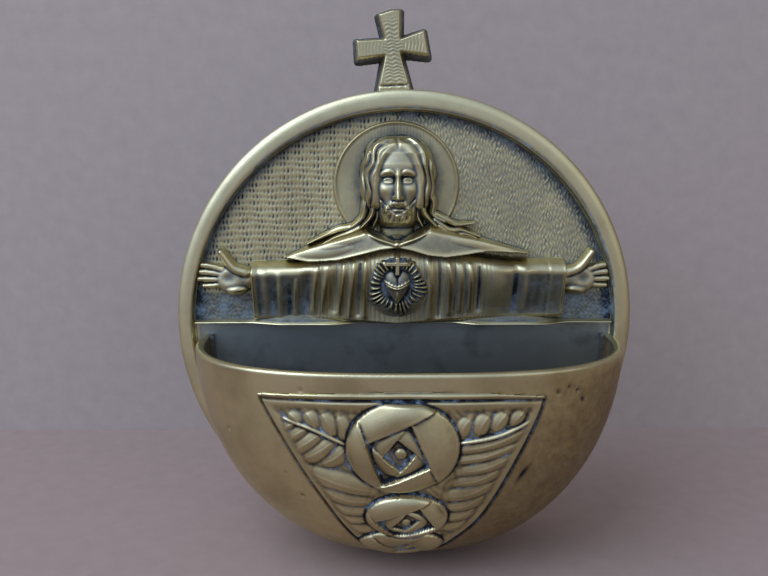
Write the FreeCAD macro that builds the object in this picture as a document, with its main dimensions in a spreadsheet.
"""Holy water stoup: a cast brass wall plate with a figure relief, a basin and a cross.

Frame, in millimetres: the plate's back lies on the wall at Y = 0 and its front looks along -Y, +Z is up
and +X is to the viewer's right. The origin is the centre of the disc on the wall.
The sheet "Dimensions" holds the driving sizes, and the sheet "Relief" the rounded forms of the castings.
"""
import FreeCAD
import Part
import math
import os
import re
import Sketcher

V = FreeCAD.Vector
Turn = FreeCAD.Rotation
Place = FreeCAD.Placement

doc = FreeCAD.newDocument("holy_water_stoup")

# ---------------------------------------------------------------- driving dimensions

DIMENSIONS = [
    # back plate
    ("disc_radius", 65.0, "outer radius of the plate"),
    ("rim_depth", 8.4, "wall to the front of the rim"),
    ("rim_inner_radius", 60.5, "radius of the rim's inner edge"),
    ("rim_inner_x", -0.3, "the inner edge is cast a little off centre, sideways"),
    ("rim_inner_z", -0.9, "and downwards, so that the rim is widest at the top"),
    ("rim_bevel_width", 1.6, "bevel on the rim's outer edge, across the rim"),
    ("rim_bevel_depth", 0.9, "the same bevel, along the depth"),
    ("field_front", 5.4, "wall to the front of the sunk field"),
    ("field_thickness", 2.0, "thickness of the plate behind the relief and the basin"),
    ("hollow_radius", 59.0, "radius of the hollow in the plate's back"),
    # halo
    ("halo_radius", 17.6, "radius of the halo"),
    ("halo_x", -2.6, "middle of the halo, sideways"),
    ("halo_z", 39.2, "middle of the halo, height"),
    ("halo_thickness", 0.5, "thickness of the halo's disc"),
    ("halo_bead", 0.45, "radius of the bead round the halo"),
    # cross
    ("cross_height", 21.0, "foot to top of the cross, at its back, as are the sizes below"),
    ("cross_foot_x", -3.1, "middle of the foot, sideways"),
    ("cross_lean", 4.0, "lean to the left, in degrees"),
    ("cross_thickness", 5.4, "thickness of the cross"),
    ("cross_back", 1.4, "wall to the back of the cross"),
    ("cross_waist", 5.7, "width of the arms where they meet"),
    ("cross_foot_width", 10.5, "width of the foot"),
    ("cross_top_width", 7.4, "width of the top end"),
    ("cross_left_width", 6.4, "height of the left arm's end"),
    ("cross_right_width", 8.0, "height of the right arm's end"),
    ("cross_left_reach", 10.1, "middle line to the left end"),
    ("cross_right_reach", 10.1, "middle line to the right end"),
    ("cross_arm_height", 11.2, "foot to the middle of the arms"),
    ("cross_draft", 7.0, "draft of the sides, in degrees"),
    ("cross_sink", 0.8, "how far the foot starts inside the disc's edge before it is fitted to it"),
    ("dowel_radius", 1.0, "pins between the cross and the rim"),
    ("dowel_length", 8.0, "length of such a pin"),
    ("dowel_spacing", 4.6, "distance between the two pins"),
    # basin
    ("bowl_half_width", 59.6, "half width of the bowl at the plate"),
    ("bowl_depth", 40.0, "how far the bowl stands out from the field"),
    ("bowl_reach", 64.3, "disc centre down to the bottom of the bowl"),
    ("bowl_x", 0.9, "middle of the bowl, sideways"),
    ("bowl_lip", 3.5, "disc centre down to the lip"),
    ("bowl_wall", 2.2, "thickness of the bowl"),
    ("bowl_plan_power", 2.7, "how square the bowl is, seen from above"),
    ("bowl_side_power", 2.8, "how square the bowl is, seen from the side"),
    ("bowl_back_power", 2.15, "how square the bowl's joint with the plate is"),
    ("boss_radius", 3.2, "screw bosses inside the bowl"),
    ("boss_length", 9.0, "length of a boss"),
    ("boss_upper_x", 47.8, "upper pair of bosses, from the bowl's middle"),
    ("boss_upper_z", -32.0, "upper pair of bosses, height"),
    ("boss_lower_x", 22.5, "lower pair of bosses, from the bowl's middle"),
    ("boss_lower_z", -56.0, "lower pair of bosses, height"),
    ("screw_radius", 1.5, "M3 screws that hold the bowl"),
    ("screw_length", 9.0, "length of a screw under its head"),
    ("screw_head_radius", 2.75, "cheese head"),
    ("screw_head_height", 1.9, "cheese head"),
    ("screw_head_room", 0.15, "room round a head in the plate"),
    ("screw_slot_width", 0.8, "screwdriver slot"),
    ("screw_slot_depth", 0.9, "screwdriver slot"),
    ("seam_size", 1.2, "solder round the inside of the joint"),
    # rose panel
    ("panel_seat", 1.0, "how deep the panel is let into the bowl"),
    ("panel_sink", 0.35, "how far the panel's ground lies below the bowl's skin"),
    ("panel_top_left_x", -37.0, "top left corner"),
    ("panel_top_right_x", 32.8, "top right corner"),
    ("panel_top_z", -9.4, "top edge of the panel"),
    ("panel_left_x", -21.6, "left edge, lower down"),
    ("panel_right_x", 18.4, "right edge, lower down"),
    ("panel_side_z", -38.5, "height of those two points"),
    ("panel_tip_half_width", 8.6, "half width of the panel's lower end"),
    ("panel_tip_z", -57.2, "lower end of the panel"),
    ("panel_tip_x", -0.8, "middle of the panel's lower end, sideways"),
    ("panel_tip_round", 3.0, "height of the corners of the lower end"),
    ("panel_prism_back", 14.0, "field to the rear end of the panel's outline block"),
    ("panel_bead", 0.5, "bead along the panel's top edge, above the bowl's skin"),
    ("panel_bead_height", 1.2, "height of that bead"),
    ("panel_bead_half_length", 28.0, "half length of that bead"),
    ("petal_count", 5, "outer petals of a rose"),
    ("petal_place", 0.56, "rose's middle to a petal's middle, as a share of the rose's half size"),
    ("petal_size", 0.5, "radius of a petal's foot, as a share of the rose's half height"),
    ("petal_rise", 0.17, "rise of a petal's dome, as a share of the rose's half height"),
    ("petal_start", 17.0, "where the first petal stands, in degrees"),
    ("whorl_size", 0.4, "radius of the whorl's foot, as a share of the rose's half height"),
    ("whorl_rise", 0.22, "rise of the whorl's dome, as a share of the rose's half height"),
    ("leaf_rise", 0.7, "how far a leaf stands out from the bowl's skin"),
    ("midrib_radius", 0.9, "radius of the rod along a leaf's middle"),
    ("midrib_length", 0.8, "that rod's length, as a share of its leaf's"),
    # sacred heart
    ("emblem_x", -2.4, "middle of the emblem, sideways"),
    ("emblem_z", 11.8, "middle of the emblem, height"),
    ("emblem_radius", 8.8, "radius of the ring of rays"),
    ("emblem_back", 5.4, "field to the back of the emblem"),
    ("emblem_front", 7.5, "field to the emblem's ground"),
    ("ray_count", 24, "rays round the heart"),
    ("ray_inner", 5.0, "inner end of the rays"),
    ("ray_half_width", 0.45, "a ray's half width"),
    ("ray_half_out", 0.6, "a ray's half thickness"),
    ("heart_cross_bar", 0.9, "section of the small cross over the heart"),
    ("heart_cross_foot", 3.0, "heart's middle to the foot of its cross"),
    ("heart_cross_height", 4.6, "height of that cross"),
    ("heart_cross_width", 3.4, "width of that cross"),
    ("heart_cross_arm", 5.4, "heart's middle to the arms of its cross"),
    # figure
    ("sill_half_width", 59.0, "ledge under the figure, half length"),
    ("sill_height", 2.2, "ledge under the figure, height"),
    ("sill_depth", 1.9, "ledge under the figure, out from the field"),
    ("cloth_sink", 0.35, "how far the middle of robe, cloak and cuffs lies behind the field's front"),
    ("fold_count", 17, "folds of the robe"),
    ("fold_first_x", -39.5, "first fold"),
    ("fold_step", 5.0, "distance between folds"),
    ("fold_mid_z", 9.6, "middle height of the folds"),
    ("fold_half_height", 5.4, "a fold's half height"),
    ("fold_half_width", 1.0, "a fold's half width"),
    ("fold_half_out", 1.2, "a fold's half thickness"),
    ("fold_sink", 0.9, "how far a fold's middle lies inside the robe"),
    ("cuff_width", 2.8, "turned-back cuff, along the sleeve"),
    ("cuff_swell", 0.5, "how much a cuff is wider than the sleeve, all round"),
    ("finger_count", 4, "fingers of a hand beside the thumb"),
    ("finger_mid_x", 53.8, "middle of the fingers, sideways"),
    ("finger_first_z", 16.3, "height of the first finger"),
    ("finger_step", 2.15, "distance between fingers"),
    ("finger_half_length", 4.4, "a finger's half length"),
    ("finger_half_width", 1.0, "a finger's half width"),
    ("finger_half_out", 2.0, "a finger's half thickness"),
    ("finger_out", 0.3, "field to the middle of a finger"),
    ("finger_lift", 6.0, "tilt of the first finger, in degrees"),
    ("finger_spread", 5.0, "angle between fingers, in degrees"),
    ("figure_reach", 20.0, "room in front of the field that the figure may take"),
    ("rivet_radius", 1.2, "rivets that hold the figure"),
    ("rivet_hold", 2.6, "how far a rivet goes into the figure"),
    ("rivet_head_radius", 2.3, "rivet head, at the plate"),
    ("rivet_head_top", 1.4, "rivet head, at its top"),
    ("rivet_head_height", 1.1, "rivet head"),
    # hanger
    ("hinge_z", 34.0, "height of the hanger's hinge line"),
    ("wire_radius", 0.8, "wire of the ring"),
    ("hinge_clearance", 0.06, "running clearance round the wire"),
    ("strap_thickness", 0.5, "sheet of the strap"),
    ("strap_width", 7.0, "width of the strap"),
    ("strap_length", 9.0, "strap below the hinge line"),
    ("ring_leg", 6.0, "straight leg of the ring"),
    ("ring_half_width", 6.2, "hinge line's middle to the wire of a leg"),
    ("tack_radius", 0.8, "rivets of the strap"),
    ("tack_head_radius", 1.5, "their heads"),
    ("tack_head_height", 0.7, "their heads"),
]

# One row for each rounded form: middle sideways, height and out from the field, its three half sizes
# (across, up and out), and its tilt in degrees, counterclockwise as seen from the front.
FORMS = {
    "sill_hump_left": (-33.0, 1.2, 0.4, 14.0, 2.3, 2.2, 0.0),
    "sill_hump_right": (26.0, 1.2, 0.4, 14.0, 2.2, 2.2, 0.0),
    "neck": (-2.4, 26.6, 0.4, 5.4, 5.6, 5.4, 0.0),
    "collar_left": (-7.4, 25.6, 3.8, 6.0, 1.1, 2.2, -24.0),
    "collar_right": (2.8, 25.8, 3.8, 6.0, 1.1, 2.2, 26.0),
    "clasp": (-2.4, 23.4, 6.0, 1.1, 1.1, 1.2, 0.0),
    "head": (-2.3, 38.4, 4.4, 6.9, 9.7, 6.4, 0.0),
    "nose": (-2.3, 37.6, 10.3, 1.2, 3.0, 1.5, 0.0),
    "beard": (-2.4, 30.8, 5.6, 4.3, 4.2, 3.9, 0.0),
    "hair": (-2.4, 42.0, 2.6, 9.5, 10.9, 5.6, 0.0),
    "lock_left_upper": (-11.0, 37.0, 1.8, 2.5, 7.6, 3.6, -4.0),
    "lock_left_lower": (-13.0, 29.8, 1.6, 2.2, 4.6, 3.2, -18.0),
    "lock_left_end": (-19.8, 25.2, 1.2, 6.6, 1.5, 3.4, 18.0),
    "lock_right_upper": (7.2, 37.4, 1.8, 2.5, 7.8, 3.6, 5.0),
    "lock_right_lower": (10.2, 30.4, 1.6, 2.2, 4.8, 3.2, 24.0),
    "lock_right_end": (16.6, 27.0, 1.2, 6.6, 1.6, 3.2, -12.0),
    "palm_left": (-49.0, 13.0, -0.4, 6.6, 4.0, 3.4, 6.0),
    "thumb_left": (-49.8, 17.4, 0.6, 4.2, 1.3, 2.4, -42.0),
    "palm_right": (50.2, 12.8, -0.4, 6.2, 4.0, 3.4, -6.0),
    "thumb_right": (50.2, 17.4, 0.6, 4.0, 1.3, 2.4, 46.0),
    "heart_left": (-4.3, 13.2, 7.6, 2.5, 2.6, 1.9, 0.0),
    "heart_right": (-0.5, 13.2, 7.6, 2.5, 2.6, 1.9, 0.0),
    "heart_point": (-2.4, 11.2, 7.6, 2.7, 4.4, 1.9, 0.0),
    "thorns": (-2.4, 13.2, 8.9, 4.0, 0.55, 1.0, -8.0),
}
FORM_COLUMNS = ("mid_x", "mid_z", "out", "half_x", "half_z", "half_out", "tilt")
ROSE_COLUMNS = ("mid_x", "mid_z", "half_x", "half_z")
LEAF_COLUMNS = ("mid_x", "mid_z", "half_x", "half_z", "tilt")

# Cross-sections of the robe and the cloak along X: place, middle height, half height and depth.
ROBE = {
    "cuff_line_left": (-43.0, 9.7, 7.9, 4.8),
    "elbow_left": (-27.0, 9.8, 8.1, 5.2),
    "breast_left": (-14.0, 10.3, 9.2, 6.5),
    "breast": (-2.4, 10.9, 10.3, 7.6),
    "breast_right": (12.0, 10.3, 9.2, 6.6),
    "elbow_right": (28.0, 10.0, 8.1, 5.3),
    "cuff_line_right": (45.0, 10.2, 7.6, 4.9),
}
CLOAK = {
    "cloak_tip_left": (-34.0, 18.8, 0.9, 5.2),
    "cloak_left": (-26.6, 20.5, 2.3, 6.4),
    "cloak_neck_left": (-11.5, 24.2, 3.3, 7.4),
    "cloak_clasp": (-2.4, 23.4, 2.2, 7.6),
    "cloak_neck_right": (6.8, 24.6, 3.5, 7.6),
    "cloak_right": (17.9, 23.1, 2.6, 7.0),
    "cloak_tip_right": (34.0, 20.2, 0.9, 5.2),
}
SECTION_COLUMNS = ("mid_x", "mid_z", "half_z", "out")

# Roses and leaves on the bowl: middle sideways, height, half width, half height.
ROSES = {
    "rose_large": (-2.0, -23.0, 13.2, 12.0),
    "rose_middle": (-1.4, -43.6, 10.6, 7.6),
    "rose_small": (-1.0, -54.4, 7.4, 3.4),
}
# Middle sideways, height, half length, half width, tilt.
LEAVES = {
    "leaf_left_top": (-23.6, -15.6, 9.6, 3.6, -18.0),
    "leaf_left_middle": (-21.6, -23.6, 7.4, 3.0, -10.0),
    "leaf_left_low": (-19.6, -31.4, 7.4, 2.3, -34.0),
    "leaf_left_tip": (-15.6, -40.6, 6.6, 2.0, -44.0),
    "leaf_right_top": (19.0, -14.6, 8.6, 3.0, 16.0),
    "leaf_right_middle": (17.6, -21.6, 7.6, 2.6, 28.0),
    "leaf_right_low": (15.0, -29.6, 7.2, 2.2, 38.0),
    "leaf_right_tip": (12.6, -38.4, 6.4, 2.0, 48.0),
}


def make_sheet(name, rows):
    """A spreadsheet with one named number in each row."""
    sheet = doc.addObject("Spreadsheet::Sheet", name)
    for row, (alias, value, meaning) in enumerate(rows, start=1):
        sheet.set(f"A{row}", meaning)
        sheet.set(f"B{row}", repr(value))
        sheet.setAlias(f"B{row}", alias)
    return sheet


def form_rows():
    """The rounded forms, cross-sections, roses and leaves as rows of the sheet "Relief"."""
    tables = (
        (FORMS, FORM_COLUMNS),
        (ROBE, SECTION_COLUMNS),
        (CLOAK, SECTION_COLUMNS),
        (ROSES, ROSE_COLUMNS),
        (LEAVES, LEAF_COLUMNS),
    )
    for table, columns in tables:
        for name, values in table.items():
            for column, value in zip(columns, values):
                yield f"{name}_{column}", value, f"{name}: {column}"


sheet = make_sheet("Dimensions", DIMENSIONS)
relief = make_sheet("Relief", form_rows())
doc.recompute()
ALIASES = {alias: "Dimensions" for alias, _, _ in DIMENSIONS}
ALIASES.update({alias: "Relief" for alias, _, _ in form_rows()})


def size(alias):
    """The number in one named cell."""
    return float(doc.getObject(ALIASES[alias]).get(alias))


def bound(text):
    """An expression in cell names, as FreeCAD reads it."""
    def whole_name(word):
        alias = word[0]
        return f"{ALIASES[alias]}.{alias}" if alias in ALIASES else alias

    return re.sub(r"[a-z_]+", whole_name, text)


# ---------------------------------------------------------------- building blocks

TOWARDS_VIEWER = Turn(V(1, 0, 0), 90)  # turns +Z to -Y
ALONG_X = Turn(V(0, 1, 0), 90)  # turns +Z to +X
TOWARDS_WALL = Turn(V(1, 0, 0), -90)  # turns +Z to +Y
ACROSS_X = Turn(V(0, 0, 1), V(0, -1, 0), V(1, 0, 0), "XYZ")  # an outline's X axis up, its normal along X
UNTURNED = Turn()


def primitive(kind, name, at, turn=UNTURNED, **sizes):
    """A Part primitive whose place and sizes are expressions in cell names."""
    made = doc.addObject(f"Part::{kind}", name)
    made.Placement = Place(V(), turn)
    for axis, text in zip("xyz", at):
        made.setExpression(f"Placement.Base.{axis}", bound(text))
    for key, text in sizes.items():
        made.setExpression(key, bound(text))
    return made


def front_cylinder(name, middle_x, middle_z, back, radius, length):
    """A cylinder whose axis points at the viewer, from `back` in front of the wall."""
    return primitive("Cylinder", name, (middle_x, f"-({back})", middle_z), TOWARDS_VIEWER,
                     Radius=radius, Height=length)


def fused(name, pieces):
    """Several forms as one; faces in one plane are left as they meet, which holds up better."""
    made = doc.addObject("Part::MultiFuse", name)
    made.Shapes = pieces
    made.Refine = False
    return made


def joined(name, base, tool):
    made = doc.addObject("Part::Fuse", name)
    made.Base = base
    made.Tool = tool
    made.Refine = False
    return made


def cut(name, base, tool):
    made = doc.addObject("Part::Cut", name)
    made.Base = base
    made.Tool = tool
    made.Refine = False
    return made


def common(name, pieces):
    made = doc.addObject("Part::MultiCommon", name)
    made.Shapes = pieces
    made.Refine = False
    return made


def group(name, pieces):
    made = doc.addObject("Part::Compound", name)
    made.Links = pieces
    return made


ROUND_LEVELS = (-0.97, -0.82, -0.45, 0.0, 0.45, 0.82, 0.97)  # sections of a rounded form, along its length


def rounded(name, place, turn, half_x, half_z, half_out):
    """An ellipsoid with tiny flat ends, lofted along its longer side as seen from the front."""
    halves = {"x": half_x, "y": half_out, "z": half_z}
    along = "x" if half_x > half_z else "z"
    major, minor = sorted((axis for axis in "xyz" if axis != along), key=lambda axis: -halves[axis])
    direction = {"x": V(1, 0, 0), "y": V(0, 1, 0), "z": V(0, 0, 1)}
    wires = []
    for level in ROUND_LEVELS:
        middle = direction[along] * (level * halves[along])
        share = math.sqrt(1 - level ** 2)
        ends = [middle + direction[axis] * (share * halves[axis]) for axis in (major, minor)]
        wires.append(Part.Wire(Part.Ellipse(*ends, middle).toShape()))
    made = doc.addObject("Part::Feature", name)
    made.Shape = Part.makeLoft(wires, True, False)
    made.Placement = Place(place, turn)
    return made


def rounded_form(name):
    """One rounded form of the relief, sized and placed by its row of the sheet."""
    mid_x, mid_z, out, half_x, half_z, half_out, tilt = (size(f"{name}_{key}") for key in FORM_COLUMNS)
    place = V(mid_x, -size("field_front") - out, mid_z)
    return rounded(name, place, Turn(V(0, -1, 0), tilt), half_x, half_z, half_out)


def body_plane(body, role):
    return next(plane for plane in body.Origin.OriginFeatures if plane.Role == role)


def sketch_on(body, role, name, offset="0"):
    """A sketch on one of the body's own planes, moved along the plane's normal."""
    sketch = body.newObject("Sketcher::SketchObject", name)
    sketch.AttachmentSupport = [(body_plane(body, role), "")]
    sketch.MapMode = "FlatFace"
    sketch.setExpression("AttachmentOffset.Base.z", bound(offset))
    return sketch


def bound_constraint(sketch, kind, where, text):
    """A dimension of the sketch, driven by an expression in cell names."""
    index = sketch.addConstraint(Sketcher.Constraint(kind, *where, 1.0))
    sketch.setExpression(f"Constraints[{index}]", bound(text))


def circle(sketch, middle_x, middle_y, radius):
    """A circle placed by its centre, which may be the sketch's origin (None)."""
    edge = sketch.addGeometry(Part.Circle(V(), V(0, 0, 1), 1.0), False)
    bound_constraint(sketch, "Radius", (edge,), radius)
    if middle_x is None:
        sketch.addConstraint(Sketcher.Constraint("Coincident", edge, 3, -1, 1))
    else:
        bound_constraint(sketch, "DistanceX", (-1, 1, edge, 3), middle_x)
        bound_constraint(sketch, "DistanceY", (-1, 1, edge, 3), middle_y)


def outline(sketch, corners):
    """A closed outline of straight edges through corners given as expressions."""
    values = [V(*(evaluate(text) for text in corner), 0) for corner in corners]
    count = len(corners)
    for here in range(count):
        sketch.addGeometry(Part.LineSegment(values[here], values[(here + 1) % count]), False)
    for here in range(count):
        sketch.addConstraint(Sketcher.Constraint("Coincident", here, 2, (here + 1) % count, 1))
    for here, (across, up) in enumerate(corners):
        pin_corner(sketch, here, "DistanceX", across, values[here].x)
        pin_corner(sketch, here, "DistanceY", up, values[here].y)


def pin_corner(sketch, line, kind, text, value):
    """Fixes one coordinate of a line's start, measured from the sketch's origin."""
    if value < 0:
        bound_constraint(sketch, kind, (line, 1, -1, 1), f"-({text})")
    else:
        bound_constraint(sketch, kind, (-1, 1, line, 1), text)


def evaluate(text):
    """The value of a plain arithmetic expression in cell names."""
    total = 0.0
    for sign, term in re.findall(r"([+-]?)\s*([a-z_0-9./* ]+)", text):
        value = 1.0
        for factor in re.split(r"\*", term):
            parts = [part.strip() for part in factor.split("/")]
            numbers = [size(part) if part in ALIASES else float(part) for part in parts]
            value *= numbers[0] / math.prod(numbers[1:])
        total += -value if sign == "-" else value
    return total


def pad(body, sketch, length, taper="0"):
    feature = body.newObject("PartDesign::Pad", f"{sketch.Name}_pad")
    feature.Profile = sketch
    feature.setExpression("Length", bound(length))
    feature.setExpression("TaperAngle", bound(taper))
    return feature


def pocket(body, sketch, length, backwards):
    feature = body.newObject("PartDesign::Pocket", f"{sketch.Name}_pocket")
    feature.Profile = sketch
    feature.setExpression("Length", bound(length))
    feature.Reversed = backwards
    return feature


# ---------------------------------------------------------------- bowl surface

SECTION_POINTS = 17
LEVELS = (0.12, 0.26, 0.42, 0.57, 0.70, 0.81, 0.89, 0.945, 0.98, 0.996)
OVERRUN = 1.5  # how far a cutting tool passes the face it cuts


def bowl_section(height, inset):
    """Half width and depth of the bowl at one height, for a skin set in from the outer one."""
    part = min(-height / (size("bowl_reach") - inset), 1.0)
    back, side = size("bowl_back_power"), size("bowl_side_power")
    half_width = (size("bowl_half_width") - inset) * (1 - part ** back) ** (1 / back)
    depth = (size("bowl_depth") - inset) * (1 - part ** side) ** (1 / side)
    return half_width, depth


def bowl_wire(height, sizes, behind):
    """The closed outline of a section: its curved front and, behind the joint, straight sides."""
    half_width, depth = sizes
    joint = -size("field_front")
    middle = size("bowl_x")
    power = 2 / size("bowl_plan_power")
    points = []
    for step in range(SECTION_POINTS):
        angle = math.pi * step / (SECTION_POINTS - 1)
        across, out = math.cos(angle), math.sin(angle)
        points.append(V(middle + half_width * math.copysign(abs(across) ** power, across),
                        joint - depth * max(out, 0) ** power, height))
    curve = Part.BSplineCurve()
    curve.interpolate(points)
    first, last = points[0], points[-1]
    edges = [curve.toShape()]
    if behind:
        step_back = V(0, behind, 0)
        corners = (last, last + step_back, first + step_back, first)
        edges += [Part.makeLine(start, end) for start, end in zip(corners, corners[1:])]
    else:
        edges.append(Part.makeLine(last, first))
    return Part.Wire(edges)


def bowl_solid(name, inset=0.0, above=0.0, behind=0.0):
    """The bowl's body for a skin set in by `inset`, running on above the lip and behind the joint."""
    lip = -size("bowl_lip")
    reach = size("bowl_reach") - inset
    wires = [bowl_wire(lip, bowl_section(lip, inset), behind)]
    for level in LEVELS:
        height = -level * reach
        wires.append(bowl_wire(height, bowl_section(height, inset), behind))
    shape = Part.makeLoft(wires, True, False)
    if above:
        mouth = Part.Face(wires[0]).extrude(V(0, 0, above))
        shape = shape.fuse(mouth)
    made = doc.addObject("Part::Feature", name)
    made.Shape = shape
    return made


def bowl_frame(middle_x, height):
    """The point of the bowl's skin in front of (x, z), and its outward normal."""
    def depth_at(x, z):
        half_width, depth = bowl_section(z, 0.0)
        plan = size("bowl_plan_power")
        aside = min(abs(x - size("bowl_x")) / half_width, 1.0)
        return size("field_front") + depth * (1 - aside ** plan) ** (1 / plan)

    near = 0.05
    slope_x = (depth_at(middle_x + near, height) - depth_at(middle_x - near, height)) / (2 * near)
    slope_z = (depth_at(middle_x, height + near) - depth_at(middle_x, height - near)) / (2 * near)
    normal = V(-slope_x, -1, -slope_z)
    normal.normalize()
    return V(middle_x, -depth_at(middle_x, height), height), normal


# ---------------------------------------------------------------- back plate and cross


def make_plate_casting():
    """Disc with a bevelled rim, sunk field in front and hollow behind."""
    body = doc.addObject("PartDesign::Body", "plate_casting")
    disc = sketch_on(body, "XZ_Plane", "disc_outline")
    circle(disc, None, None, "disc_radius")
    disc_pad = pad(body, disc, "rim_depth")
    doc.recompute()
    front_edge = next(number for number, edge in enumerate(disc_pad.Shape.Edges, start=1)
                      if abs(edge.BoundBox.YMax + size("rim_depth")) < 0.01)
    bevel = body.newObject("PartDesign::Chamfer", "rim_bevel")
    bevel.Base = (disc_pad, [f"Edge{front_edge}"])
    bevel.ChamferType = "Two distances"
    bevel.setExpression("Size", bound("rim_bevel_width"))
    bevel.setExpression("Size2", bound("rim_bevel_depth"))
    doc.recompute()
    field = sketch_on(body, "XZ_Plane", "field_outline", "rim_depth")
    circle(field, "rim_inner_x", "rim_inner_z", "rim_inner_radius")
    field_cut = pocket(body, field, "rim_depth - field_front", False)
    doc.recompute()
    hollow = sketch_on(body, "XZ_Plane", "hollow_outline")
    circle(hollow, None, None, "hollow_radius")
    hollow_cut = pocket(body, hollow, "field_front - field_thickness", True)
    doc.recompute()
    for deeper, before in ((field_cut, bevel), (hollow_cut, field_cut)):
        if deeper.Shape.Volume > before.Shape.Volume - 1:
            raise RuntimeError(f"{deeper.Name} cuts nothing")
    return body


def make_cross_casting():
    """The flared cross, upright, with its foot's middle at the body's origin."""
    body = doc.addObject("PartDesign::Body", "cross_casting")
    sketch = sketch_on(body, "XZ_Plane", "cross_outline")
    waist = "cross_waist/2"
    low, high = f"cross_arm_height - {waist}", f"cross_arm_height + {waist}"
    outline(sketch, [
        ("cross_foot_width/2", "0 - cross_sink"), (waist, low),
        ("cross_right_reach", "cross_arm_height - cross_right_width/2"),
        ("cross_right_reach", "cross_arm_height + cross_right_width/2"), (waist, high),
        ("cross_top_width/2", "cross_height"), ("0 - cross_top_width/2", "cross_height"),
        (f"0 - {waist}", high), ("0 - cross_left_reach", "cross_arm_height + cross_left_width/2"),
        ("0 - cross_left_reach", "cross_arm_height - cross_left_width/2"), (f"0 - {waist}", low),
        ("0 - cross_foot_width/2", "0 - cross_sink"),
    ])
    pad(body, sketch, "cross_thickness", "0 - cross_draft")
    doc.recompute()
    lean = math.radians(size("cross_lean"))
    foot = math.sqrt(size("disc_radius") ** 2 - size("cross_foot_x") ** 2)
    body.Placement = Place(V(size("cross_foot_x"), -size("cross_back"), foot),
                           Turn(V(0, -1, 0), math.degrees(lean)))
    return body


def make_dowels():
    """Two pins that follow the lean of the cross, half in its foot and half in the rim."""
    lean = Turn(V(0, -1, 0), size("cross_lean"))
    foot = V(size("cross_foot_x"), -size("cross_back") - size("cross_thickness") / 2,
             math.sqrt(size("disc_radius") ** 2 - size("cross_foot_x") ** 2))
    pins = []
    for side in (-1, 1):
        pin = doc.addObject("Part::Cylinder", "dowel_left" if side < 0 else "dowel_right")
        pin.setExpression("Radius", bound("dowel_radius"))
        pin.setExpression("Height", bound("dowel_length"))
        start = V(side * size("dowel_spacing") / 2, 0, -size("dowel_length") / 2)
        pin.Placement = Place(foot + lean.multVec(start), lean)
        pins.append(pin)
    return group("cross_dowels", pins)


# ---------------------------------------------------------------- fasteners


def rivet(name, middle_x, middle_z, hold, radius, head):
    """A rivet from behind the plate: a tapered head in the hollow and a shank."""
    head_radius, head_top, head_height = head
    back = "field_front - field_thickness"
    shank = front_cylinder(f"{name}_shank", middle_x, middle_z, back, radius, f"field_thickness + {hold}")
    head = primitive("Cone", f"{name}_head", (middle_x, f"-({back})", middle_z), TOWARDS_WALL,
                     Radius1=head_radius, Radius2=head_top, Height=head_height)
    return fused(name, [shank, head]), shank


def screw(name, middle_x, middle_z):
    """A slotted cheese-head screw, driven from behind the plate."""
    back = "field_front - field_thickness"
    top = f"{back} - screw_head_height"
    shank = front_cylinder(f"{name}_shank", middle_x, middle_z, back, "screw_radius", "screw_length")
    head = front_cylinder(f"{name}_head", middle_x, middle_z, top, "screw_head_radius", "screw_head_height")
    slot = primitive("Box", f"{name}_slot",
                     (f"{middle_x} - screw_head_radius", f"-({top} + screw_slot_depth)",
                      f"{middle_z} - screw_slot_width/2"),
                     Length="2*screw_head_radius", Width="screw_slot_depth", Height="screw_slot_width")
    return cut(name, fused(f"{name}_blank", [shank, head]), slot), shank


ROBE_RIVETS_X = (-36, -15, 13, 37)  # one row behind the robe, and one rivet behind the head
RIVET_PLACES = [(str(across), "fold_mid_z") for across in ROBE_RIVETS_X] + [("halo_x", "halo_z")]
BOSS_PLACES = [(f"bowl_x + {side}*boss_{row}_x", f"boss_{row}_z")
               for row in ("upper", "lower") for side in (-1, 1)]
TACK_DROPS = ("3.4", "6.8")  # strap rivets, below the hinge line


def make_figure_rivets():
    head = ("rivet_head_radius", "rivet_head_top", "rivet_head_height")
    made = [rivet(f"figure_rivet_{number}", across, up, "rivet_hold", "rivet_radius", head)
            for number, (across, up) in enumerate(RIVET_PLACES, start=1)]
    return group("figure_rivets", [whole for whole, _ in made]), [shank for _, shank in made]


def make_head_seats():
    """Round seats for the screw heads, from the wall side."""
    return [front_cylinder(f"head_seat_{number}", *place, "0", "screw_head_radius + screw_head_room",
                           "field_front - field_thickness")
            for number, place in enumerate(BOSS_PLACES, start=1)]


def make_basin_screws():
    made = [screw(f"basin_screw_{number}", *place) for number, place in enumerate(BOSS_PLACES, start=1)]
    return group("basin_screws", [whole for whole, _ in made]), [shank for _, shank in made]


# ---------------------------------------------------------------- figure, halo and heart


def make_halo(holes):
    disc = front_cylinder("halo_disc", "halo_x", "halo_z", "field_front", "halo_radius", "halo_thickness")
    place = ("halo_x", "-(field_front + halo_thickness)", "halo_z")
    bead = primitive("Torus", "halo_edge", place, TOWARDS_VIEWER,
                     Radius1="halo_radius - halo_bead", Radius2="halo_bead")
    return cut("halo", fused("halo_blank", [disc, bead]), holes)


def cloth_section(name):
    """An ellipse across the robe or the cloak, standing on the field."""
    ellipse = doc.addObject("Part::Ellipse", f"{name}_section")
    half_z, out = size(f"{name}_half_z"), size(f"{name}_out")
    tall = half_z >= out
    ellipse.setExpression("MajorRadius", bound(f"{name}_half_z" if tall else f"{name}_out"))
    ellipse.setExpression("MinorRadius", bound(f"{name}_out" if tall else f"{name}_half_z"))
    turn = ACROSS_X if tall else ACROSS_X.multiply(Turn(V(0, 0, 1), 90))
    middle = V(size(f"{name}_mid_x"), size("cloth_sink") - size("field_front"), size(f"{name}_mid_z"))
    ellipse.Placement = Place(middle, turn)
    return ellipse


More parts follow.
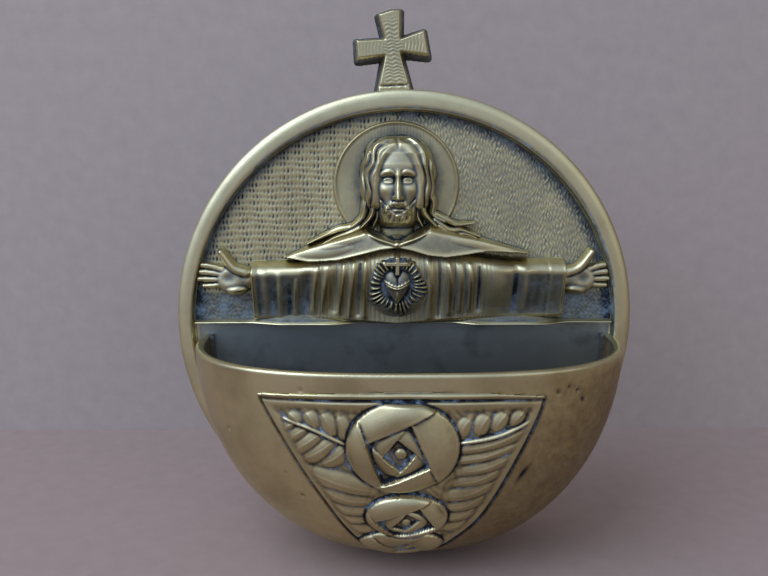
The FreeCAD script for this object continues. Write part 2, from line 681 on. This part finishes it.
def make_cloth(name, sections, ruled):
    """The robe or the cloak, lofted through its cross-sections, smoothly or with straight runs."""
    cloth = doc.addObject("Part::Loft", name)
    cloth.Sections = [cloth_section(section) for section in sections]
    cloth.Solid = True
    cloth.Ruled = ruled
    return cloth


def make_cuff(name, section):
    """A turned-back cuff: an elliptical band, a little wider than the sleeve's end."""
    mid_x, mid_z, half_z, out = (size(f"{section}_{key}") for key in SECTION_COLUMNS)
    swell = size("cuff_swell")
    rim = Part.Wire(Part.Ellipse(V(), half_z + swell, out + swell).toShape())
    made = doc.addObject("Part::Feature", name)
    made.Shape = Part.Face(rim).extrude(V(0, 0, size("cuff_width")))
    made.Placement = Place(V(mid_x - size("cuff_width") / 2, size("cloth_sink") - size("field_front"), mid_z),
                           ACROSS_X)
    return made


def robe_depth(across):
    """How far the robe stands out from the field at one place sideways."""
    places = sorted((size(f"{name}_mid_x"), size(f"{name}_out")) for name in ROBE)
    for (left, out_left), (right, out_right) in zip(places, places[1:]):
        if across <= right:
            share = max((across - left) / (right - left), 0)
            return out_left + share * (out_right - out_left)
    return places[-1][1]


def make_folds():
    """Upright folds of the robe, on its rounded front."""
    folds = []
    for number in range(int(size("fold_count"))):
        across = size("fold_first_x") + number * size("fold_step")
        middle = size("field_front") + robe_depth(across) - size("fold_sink")
        folds.append(rounded(f"fold_{number}", V(across, -middle, size("fold_mid_z")), UNTURNED,
                             size("fold_half_width"), size("fold_half_height"), size("fold_half_out")))
    return folds


def make_fingers(side, word):
    """Four fingers side by side, pointing away from the figure."""
    fingers = []
    halves = [size(f"finger_half_{key}") for key in ("length", "width", "out")]
    for number in range(int(size("finger_count"))):
        place = V(side * size("finger_mid_x"), -size("field_front") - size("finger_out"),
                  size("finger_first_z") - number * size("finger_step"))
        tilt = side * (size("finger_lift") - number * size("finger_spread"))
        fingers.append(rounded(f"finger_{word}_{number}", place, Turn(V(0, -1, 0), tilt), *halves))
    return fingers


def make_figure(neighbours):
    """Bust, robe, cloak, hair, hands and the sill below, as one casting that fits its neighbours.

    Each form is cut off at the field before the forms are joined, and the hands also at the rim.
    """
    front = slab("in_front_of_field", "field_front + figure_reach", "field_front", "0", "disc_radius")
    within = front_cylinder("within_rim", "rim_inner_x", "rim_inner_z", "field_front", "rim_inner_radius",
                            "figure_reach")
    room = common("room_for_hands", [front, within])
    sill = primitive("Box", "sill", ("0 - sill_half_width", "-(field_front + sill_depth)", "0"),
                     Length="2*sill_half_width", Width="sill_depth", Height="sill_height")
    cuffs = [make_cuff("cuff_left", "cuff_line_left"), make_cuff("cuff_right", "cuff_line_right")]
    forms = [rounded_form(name) for name in FORMS if not name.startswith(("heart", "thorns"))]
    hands = [form for form in forms if form.Name.startswith(("palm", "thumb"))]
    hands += make_fingers(-1, "left") + make_fingers(1, "right")
    rest = [form for form in forms if form not in hands]
    standing = [common(f"{form.Name}_standing", [form, front])
                for form in [sill, make_cloth("robe", ROBE, False)] + cuffs + rest + make_folds()]
    standing += [common(f"{form.Name}_standing", [form, room]) for form in hands]
    cloak = common("cloak_standing", [make_cloth("cloak", CLOAK, True), front])
    figure = joined("cloaked_figure", fused("figure_blank", standing), cloak)
    for number, neighbour in enumerate(neighbours, start=1):
        figure = cut(f"figure_cut_{number}", figure, neighbour)
    return figure


def make_sacred_heart():
    """Heart with its ring of rays, thorns and small cross, on a round ground."""
    back, front = "field_front + emblem_back", "field_front + emblem_front"
    ground = front_cylinder("emblem_ground", "emblem_x", "emblem_z", back, "emblem_radius",
                            "emblem_front - emblem_back")
    seat = front_cylinder("emblem_seat", "emblem_x", "emblem_z", back, "emblem_radius", "figure_reach")
    rays = []
    middle = (size("ray_inner") + size("emblem_radius")) / 2
    for number in range(int(size("ray_count"))):
        angle = 2 * math.pi * number / size("ray_count")
        place = V(size("emblem_x") + middle * math.cos(angle), -size("field_front") - size("emblem_front"),
                  size("emblem_z") + middle * math.sin(angle))
        rays.append(rounded(f"ray_{number}", place, Turn(V(0, -1, 0), math.degrees(angle)),
                            (size("emblem_radius") - size("ray_inner")) / 2,
                            size("ray_half_width"), size("ray_half_out")))
    heart = [rounded_form(name) for name in FORMS if name.startswith(("heart", "thorns"))]
    face = f"-({front} + heart_cross_bar)"
    upright = primitive("Box", "small_cross_upright",
                        ("emblem_x - heart_cross_bar/2", face, "emblem_z + heart_cross_foot"),
                        Length="heart_cross_bar", Width="heart_cross_bar", Height="heart_cross_height")
    arms = primitive("Box", "small_cross_arms",
                     ("emblem_x - heart_cross_width/2", face, "emblem_z + heart_cross_arm"),
                     Length="heart_cross_width", Width="heart_cross_bar", Height="heart_cross_bar")
    return fused("sacred_heart", [ground, upright, arms] + heart + rays), seat


# ---------------------------------------------------------------- basin


def slab(name, front, back, low, high):
    """A box right across the object, between two depths and two heights."""
    return primitive("Box", name, ("0 - disc_radius", f"-({front})", low),
                     Length="2*disc_radius", Width=f"{front} - ({back})", Height=f"{high} - ({low})")


def make_panel_prism():
    """The panel's outline, as seen from the front, run through the bowl's front wall."""
    body = doc.addObject("PartDesign::Body", "panel_prism")
    sketch = sketch_on(body, "XZ_Plane", "panel_outline", "field_front + panel_prism_back")
    outline(sketch, [
        ("panel_top_left_x", "panel_top_z"), ("panel_top_right_x", "panel_top_z"),
        ("panel_right_x", "panel_side_z"),
        ("panel_tip_x + panel_tip_half_width", "panel_tip_z + panel_tip_round"),
        ("panel_tip_x + panel_tip_half_width/2", "panel_tip_z"),
        ("panel_tip_x - panel_tip_half_width/2", "panel_tip_z"),
        ("panel_tip_x - panel_tip_half_width", "panel_tip_z + panel_tip_round"),
        ("panel_left_x", "panel_side_z"),
    ])
    pad(body, sketch, "bowl_depth")
    doc.recompute()
    return body


def make_basin(prism, screw_shanks):
    """Cast bowl with four screw bosses and a seat for the panel."""
    wall = size("bowl_wall")
    outer = bowl_solid("bowl_outer")
    inner = bowl_solid("bowl_inner", wall, OVERRUN, OVERRUN)
    shell = cut("bowl_shell", outer, inner)
    bosses = [front_cylinder(f"boss_{number}", *place, "field_front", "boss_radius", "boss_length")
              for number, place in enumerate(BOSS_PLACES, start=1)]
    boss_group = fused("bosses", bosses)
    inside = common("bosses_inside", [boss_group, bowl_solid("bowl_outer_copy", wall / 2)])
    floor = bowl_solid("panel_floor", size("panel_seat"))
    seat = cut("panel_seat_tool", prism, floor)
    whole = fused("basin_blank", [shell, inside])
    tools = fused("basin_tools", [seat] + screw_shanks)
    return cut("basin_shell", whole, tools), outer, boss_group


def make_solder_seam(bosses):
    """A thin bead of solder along the inside of the joint with the plate."""
    wall = size("bowl_wall")
    outer = bowl_solid("seam_outer", wall, OVERRUN, OVERRUN)
    inner = bowl_solid("seam_inner", wall + size("seam_size"), 2 * OVERRUN, 2 * OVERRUN)
    band = slab("seam_band", "field_front + seam_size", "field_front", "0 - bowl_reach", "0 - bowl_lip")
    ring = cut("seam_ring", outer, inner)
    return cut("basin_solder_seam", common("seam_blank", [ring, band]), bosses)


def dome(name, middle_x, height, foot, rise):
    """A ball sunk into the bowl's skin, so that a dome of this foot radius and rise stands out."""
    point, normal = bowl_frame(middle_x, height)
    ball = doc.addObject("Part::Sphere", name)
    ball.setExpression("Radius", bound(f"(({foot})^2 + ({rise})^2)/(2*{rise})"))
    sink = (evaluate(foot) ** 2 - evaluate(rise) ** 2) / (2 * evaluate(rise))
    ball.Placement = Place(point - normal * sink, UNTURNED)
    return ball


def make_rose(name):
    """Overlapping outer petals round a whorl."""
    mid_x, mid_z, half_x, half_z = (size(f"{name}_{key}") for key in ROSE_COLUMNS)
    count = int(size("petal_count"))
    petals = []
    for number in range(count):
        angle = 2 * math.pi * number / count + math.radians(size("petal_start"))
        place_x = mid_x + size("petal_place") * half_x * math.cos(angle)
        place_z = mid_z + size("petal_place") * half_z * math.sin(angle)
        petals.append(dome(f"{name}_petal_{number}", place_x, place_z,
                           f"petal_size*{name}_half_z", f"petal_rise*{name}_half_z"))
    petals.append(dome(f"{name}_whorl", mid_x, mid_z,
                       f"whorl_size*{name}_half_z", f"whorl_rise*{name}_half_z"))
    return petals


def leaf_outline(name):
    """A pointed leaf's outline as a block along Y: where two wide cylinders overlap."""
    mid_x, mid_z, half_x, half_z, tilt = (size(f"{name}_{key}") for key in LEAF_COLUMNS)
    offset = (half_x ** 2 - half_z ** 2) / (2 * half_z)
    angle = math.radians(tilt)
    back = size("field_front") + size("panel_prism_back")
    sides = []
    for side, word in ((-1, "lower"), (1, "upper")):
        block = doc.addObject("Part::Cylinder", f"{name}_{word}")
        block.setExpression("Radius", bound(f"({name}_half_x^2 + {name}_half_z^2)/(2*{name}_half_z)"))
        block.setExpression("Height", bound("bowl_depth"))
        block.Placement = Place(V(mid_x + side * offset * math.sin(angle), -back,
                                  mid_z - side * offset * math.cos(angle)), TOWARDS_VIEWER)
        sides.append(block)
    return common(f"{name}_outline", sides)


def midrib(name):
    """A rod along a leaf's middle, half sunk into the bowl's skin."""
    mid_x, mid_z, tilt = (size(f"{name}_{key}") for key in ("mid_x", "mid_z", "tilt"))
    reach = size("midrib_length") * size(f"{name}_half_x")
    angle = math.radians(tilt)
    ends = [bowl_frame(mid_x + side * reach * math.cos(angle), mid_z + side * reach * math.sin(angle))[0]
            for side in (-1, 1)]
    rod = doc.addObject("Part::Cylinder", f"{name}_rib")
    rod.setExpression("Radius", bound("midrib_radius"))
    rod.Height = (ends[1] - ends[0]).Length
    rod.Placement = Place(ends[0], Turn(V(0, 0, 1), ends[1] - ends[0]))
    return rod


def make_rose_panel(prism):
    """Panel let into the bowl, with its bead, leaves and roses."""
    floor = bowl_solid("panel_back", size("panel_seat"))
    ground_block = common("panel_ground_block", [bowl_solid("panel_skin", size("panel_sink")), prism])
    ground = cut("panel_ground", ground_block, floor)
    bead_low, bead_high = "panel_top_z - 2*panel_bead_height", "panel_top_z - panel_bead_height"
    bead_place = ("bowl_x - panel_bead_half_length", "-(field_front + bowl_depth + panel_bead)", bead_low)
    bead_bar = primitive("Box", "bead_bar", bead_place,
                         Length="2*panel_bead_half_length", Width="bowl_depth/2", Height="panel_bead_height")
    bead_block = common("panel_bead_block", [bowl_solid("bead_skin", -size("panel_bead")), bead_bar])
    bead = cut("panel_bead_strip", bead_block, floor)
    leaf_skin = bowl_solid("leaf_skin", -size("leaf_rise"))
    outlines = fused("leaf_outlines", [leaf_outline(name) for name in LEAVES])
    blades = common("leaf_blades", [leaf_skin, outlines])
    domes = [petal for name in ROSES for petal in make_rose(name)]
    ornament = fused("ornament", [blades] + [midrib(name) for name in LEAVES] + domes)
    flowers = cut("panel_flowers", ornament, floor)
    return joined("rose_panel", joined("beaded_ground", ground, bead), flowers)


# ---------------------------------------------------------------- hanger


def hinge_depth():
    """Wall to the hinge line: the strap's eye rests against the plate's back."""
    return "field_front - field_thickness - strap_thickness - hinge_clearance - wire_radius"


def make_strap(tack_shanks):
    """Sheet strap, rolled into an eye round the ring's straight side."""
    depth = f"-({hinge_depth()})"
    eye = primitive("Cylinder", "strap_eye", ("0 - strap_width/2", depth, "hinge_z"), ALONG_X,
                    Radius="wire_radius + hinge_clearance + strap_thickness", Height="strap_width")
    tab = primitive("Box", "strap_tab",
                    ("0 - strap_width/2", "-(field_front - field_thickness)", "hinge_z - strap_length"),
                    Length="strap_width", Width="strap_thickness", Height="strap_length")
    way = primitive("Cylinder", "strap_eye_bore", ("0 - strap_width", depth, "hinge_z"), ALONG_X,
                    Radius="wire_radius + hinge_clearance", Height="2*strap_width")
    tools = fused("strap_tools", [way] + tack_shanks)
    return cut("hanger_strap", fused("strap_blank", [eye, tab]), tools)


def make_tacks():
    """Small rivets through the strap and the plate, filed flush in front."""
    top = "field_front - field_thickness - strap_thickness"
    made, shanks = [], []
    for number, drop in enumerate(TACK_DROPS, start=1):
        name = f"hanger_rivet_{number}"
        shank = front_cylinder(f"{name}_shank", "0", f"hinge_z - {drop}", top, "tack_radius",
                               "field_thickness + strap_thickness")
        head = primitive("Cone", f"{name}_head", ("0", f"-({top})", f"hinge_z - {drop}"), TOWARDS_WALL,
                         Radius1="tack_head_radius", Radius2="tack_radius", Height="tack_head_height")
        made.append(fused(name, [shank, head]))
        shanks.append(shank)
    return group("hanger_rivets", made), shanks


def make_hanging_ring():
    """A D-shaped wire ring that hangs down from its straight side."""
    depth = f"-({hinge_depth()})"
    bar = primitive("Cylinder", "ring_bar", ("0 - ring_half_width", depth, "hinge_z"), ALONG_X,
                    Radius="wire_radius", Height="2*ring_half_width")
    pieces = [bar]
    for side, word in ((-1, "left"), (1, "right")):
        place = (f"{side}*ring_half_width", depth)
        pieces.append(primitive("Cylinder", f"ring_leg_{word}", (*place, "hinge_z - ring_leg"),
                                Radius="wire_radius", Height="ring_leg"))
        pieces.append(primitive("Sphere", f"ring_corner_{word}", (*place, "hinge_z"), Radius="wire_radius"))
    bow = primitive("Torus", "ring_bow", ("0", depth, "hinge_z - ring_leg"),
                    Turn(V(-1, 0, 0), V(0, 0, -1), V(0, -1, 0), "XYZ"),
                    Radius1="ring_half_width", Radius2="wire_radius")
    bow.Angle3 = 180
    pieces.append(bow)
    return fused("hanging_ring", pieces)


# ---------------------------------------------------------------- assembly


def build_nodes():
    """Every sub-part of the stoup, by its node name."""
    figure_rivets, figure_shanks = make_figure_rivets()
    basin_screws, screw_shanks = make_basin_screws()
    hanger_rivets, tack_shanks = make_tacks()
    dowels = make_dowels()
    prism = make_panel_prism()
    basin, bowl_outer, bosses = make_basin(prism, screw_shanks)
    holes = figure_shanks + screw_shanks + tack_shanks + make_head_seats() + [dowels]
    seated = cut("plate_with_bowl_seat", make_plate_casting(), bowl_outer)
    back_plate = cut("back_plate", seated, fused("plate_tools", holes))
    disc_edge = front_cylinder("disc_edge_tool", "0", "0", "0 - 5", "disc_radius", "rim_depth + 10")
    cross = cut("cross_finial", make_cross_casting(), fused("cross_tools", [disc_edge, dowels]))
    halo = make_halo(figure_shanks[-1])
    sacred_heart, emblem_seat = make_sacred_heart()
    figure = make_figure([halo, emblem_seat] + figure_shanks)
    return {
        "back_plate": back_plate,
        "halo": halo,
        "figure_relief": figure,
        "sacred_heart": sacred_heart,
        "figure_rivets": figure_rivets,
        "cross_finial": cross,
        "cross_dowels": dowels,
        "basin_shell": basin,
        "basin_screws": basin_screws,
        "basin_solder_seam": make_solder_seam(bosses),
        "rose_panel": make_rose_panel(prism),
        "hanger_strap": make_strap(tack_shanks),
        "hanger_rivets": hanger_rivets,
        "hanging_ring": make_hanging_ring(),
    }


nodes = build_nodes()
doc.recompute()

for thing in doc.Objects:
    if "Invalid" in thing.State or "Error" in thing.State:
        raise RuntimeError(f"{thing.Name} failed: {thing.State}")
    if thing.Name.endswith("_standing") and not thing.Shape.Solids:
        raise RuntimeError(f"{thing.Name} is empty")

os.makedirs("parts", exist_ok=True)
for name, node in nodes.items():
    node.Label = name
    shape = node.Shape
    if shape.isNull() or not shape.isValid() or not shape.Solids:
        raise RuntimeError(f"{name} is not a valid solid")
    shape.exportStep(f"parts/{name}.step")
    print(f"{name}: {len(shape.Solids)} solids, {len(shape.Faces)} faces, {shape.Volume:.0f} mm3")
